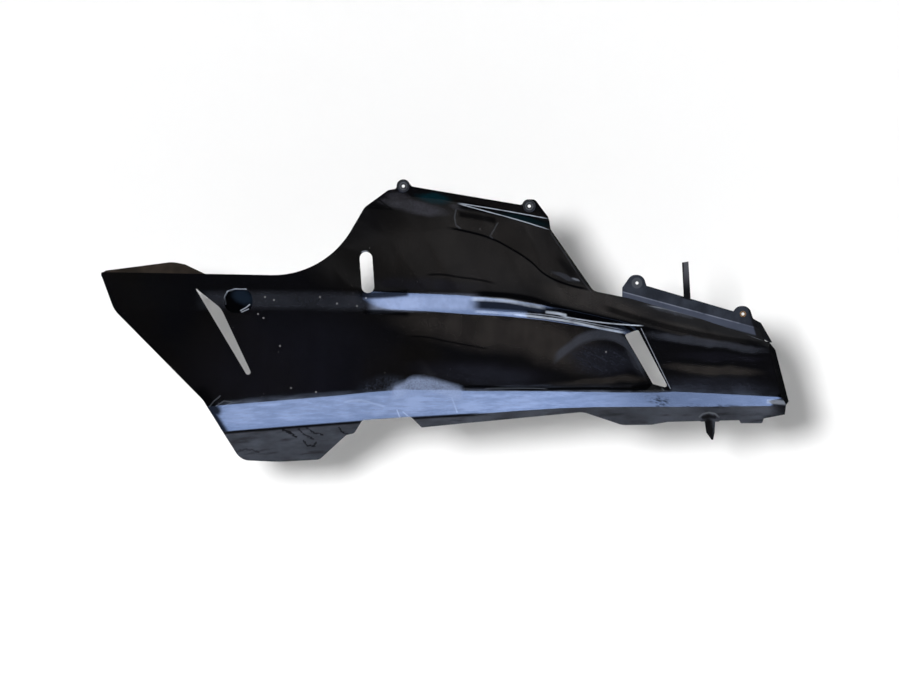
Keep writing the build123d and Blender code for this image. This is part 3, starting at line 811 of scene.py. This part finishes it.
def white_paper(name, seen_from_behind):
    """White paper; the backdrop is clear from behind, so that the part can be seen from there."""
    f = Finish(name)
    paper = f.node("ShaderNodeBsdfDiffuse", {}, {"Color": rgb(0.93, 0.93, 0.93)})
    if seen_from_behind:
        return f.ends_in(paper)
    clear = f.node("ShaderNodeBsdfTransparent")
    behind = f.node("ShaderNodeNewGeometry", out="Backfacing")
    return f.ends_in(f.node("ShaderNodeMixShader", {}, {0: behind, 1: paper, 2: clear}))


def glowing_panel(name, colour, radiance, dim_y, full_y):
    """Mottled light that fades in from one depth to another, and is dimmer at the front of the part."""
    f = Finish(name)
    f.place()
    mottled = 0.695 + f.noise(9.0, detail=4.0, stretch=(1.5, 1, 1)) * 0.305
    fade = f.step(f.y, dim_y, full_y) * (0.62 + f.step(f.x, *PANEL_FADE_X) * 0.38)
    glow = f.mix(fade * mottled, rgb(0, 0, 0), colour)
    return f.ends_in(f.node("ShaderNodeEmission", {}, {"Color": glow, "Strength": radiance}))


def dark_cloth(radius):
    """Dim emission of the dark room that the paint mirrors, a little lighter overhead."""
    f = Finish("dark_room_cloth")
    f.place()
    height = f.z / radius
    mottled = f.noise(0.30, detail=4.0, stretch=(2.5, 2.5, 1))
    level = 0.03 + f.step(height, 0.25, 0.65) * 0.12 + f.step(height, 0.78, 0.93) * 0.18
    glow = f.mix(level * (0.35 + f.step(mottled, 0.3, 0.7) * 1.3), rgb(0, 0, 0), rgb(0.95, 0.96, 1.0))
    return f.ends_in(f.node("ShaderNodeEmission", {}, {"Color": glow}))


def dark_room(radius):
    """Dome round the set, seen only by mirrored rays."""
    bm = bmesh.new()
    bmesh.ops.create_uvsphere(bm, u_segments=48, v_segments=24, radius=radius)
    mesh = bpy.data.meshes.new("dark_room")
    bm.to_mesh(mesh)
    bm.free()
    mesh.materials.append(dark_cloth(radius))
    dome = bpy.data.objects.new("dark_room", mesh)
    bpy.context.scene.collection.objects.link(dome)
    only_mirrored(dome)


def studio():
    """White backdrop and floor, key light close to the lens, overhead light and mirrored panels."""
    wall_y, floor_z, reach = 0.3, -0.62, 5.0
    corners = [(-reach, wall_y, floor_z), (reach, wall_y, floor_z),
               (reach, wall_y, reach), (-reach, wall_y, reach)]
    backdrop = stage_sheet("backdrop", corners, white_paper("backdrop_paper", seen_from_behind=False))
    floor = level_sheet("floor", half_width=reach, front=-reach, back=reach, height=floor_z,
                        finish=white_paper("floor_paper", seen_from_behind=True))
    backdrop.visible_glossy = False
    floor.visible_glossy = False
    dark_room(radius=20.0)
    lamp("key", energy=2.50, angle=7.0, aim=(0.135, 1.0, -0.066))
    lamp("overhead", energy=0.5, angle=40.0, aim=(0.0, 0.25, -1.0))
    low_light = glowing_panel("low_light", rgb(0.38, 0.54, 0.97), radiance=10.15,
                              dim_y=-0.385, full_y=-0.315)
    only_mirrored(level_sheet("low_panel", half_width=3.0, front=-0.42, back=0.16, height=-0.58,
                              finish=low_light))
    high_light = glowing_panel("high_light", rgb(0.80, 0.90, 1.0), radiance=4.13,
                               dim_y=-0.08, full_y=-0.02)
    only_mirrored(level_sheet("high_panel", half_width=1.0, front=-0.08, back=0.40, height=0.9,
                              finish=high_light))

    world = bpy.data.worlds.new("studio")
    bpy.context.scene.world = world
    world.use_nodes = True
    f = Finish("studio", world.node_tree)
    seen = [f.node("ShaderNodeLightPath", out=ray)
            for ray in ("Is Camera Ray", "Is Glossy Ray", "Is Transmission Ray")]
    soft = f.node("ShaderNodeBackground", {}, {"Color": rgb(0.97, 0.98, 1.0), "Strength": 0.095})
    white = f.node("ShaderNodeBackground", {}, {"Color": rgb(1, 1, 1), "Strength": 1.0})
    both = f.node("ShaderNodeMixShader", {}, {0: f.any_of(seen), 1: soft, 2: white})
    output = f.tree.nodes.new("ShaderNodeOutputWorld")
    f.tree.links.new(both.socket, output.inputs["Surface"])


def camera():
    """Level camera square to the part's side, framed as the photograph."""
    width, height = PICTURE
    data = bpy.data.cameras.new("camera")
    data.sensor_width = SENSOR
    data.lens = SENSOR * CAMERA_DISTANCE / (width * PIXEL * MM)
    data.clip_end = 100
    eye = bpy.data.objects.new("camera", data)
    eye.location = ((width / 2 - ORIGIN_PX[0]) * PIXEL * MM, FACE_Y - CAMERA_DISTANCE,
                    (ORIGIN_PX[1] - height / 2) * PIXEL * MM)
    eye.rotation_euler = (radians(90), 0, 0)
    bpy.context.scene.collection.objects.link(eye)
    bpy.context.scene.camera = eye


camera()
studio()
painted_shell()
dress("rail", rail_plastic())
rubber = bush_rubber()
dress("grommet_rear", rubber)
dress("grommet_front", rubber)
dress("insert", insert_brass())
bpy.context.scene.view_settings.view_transform = "Standard"
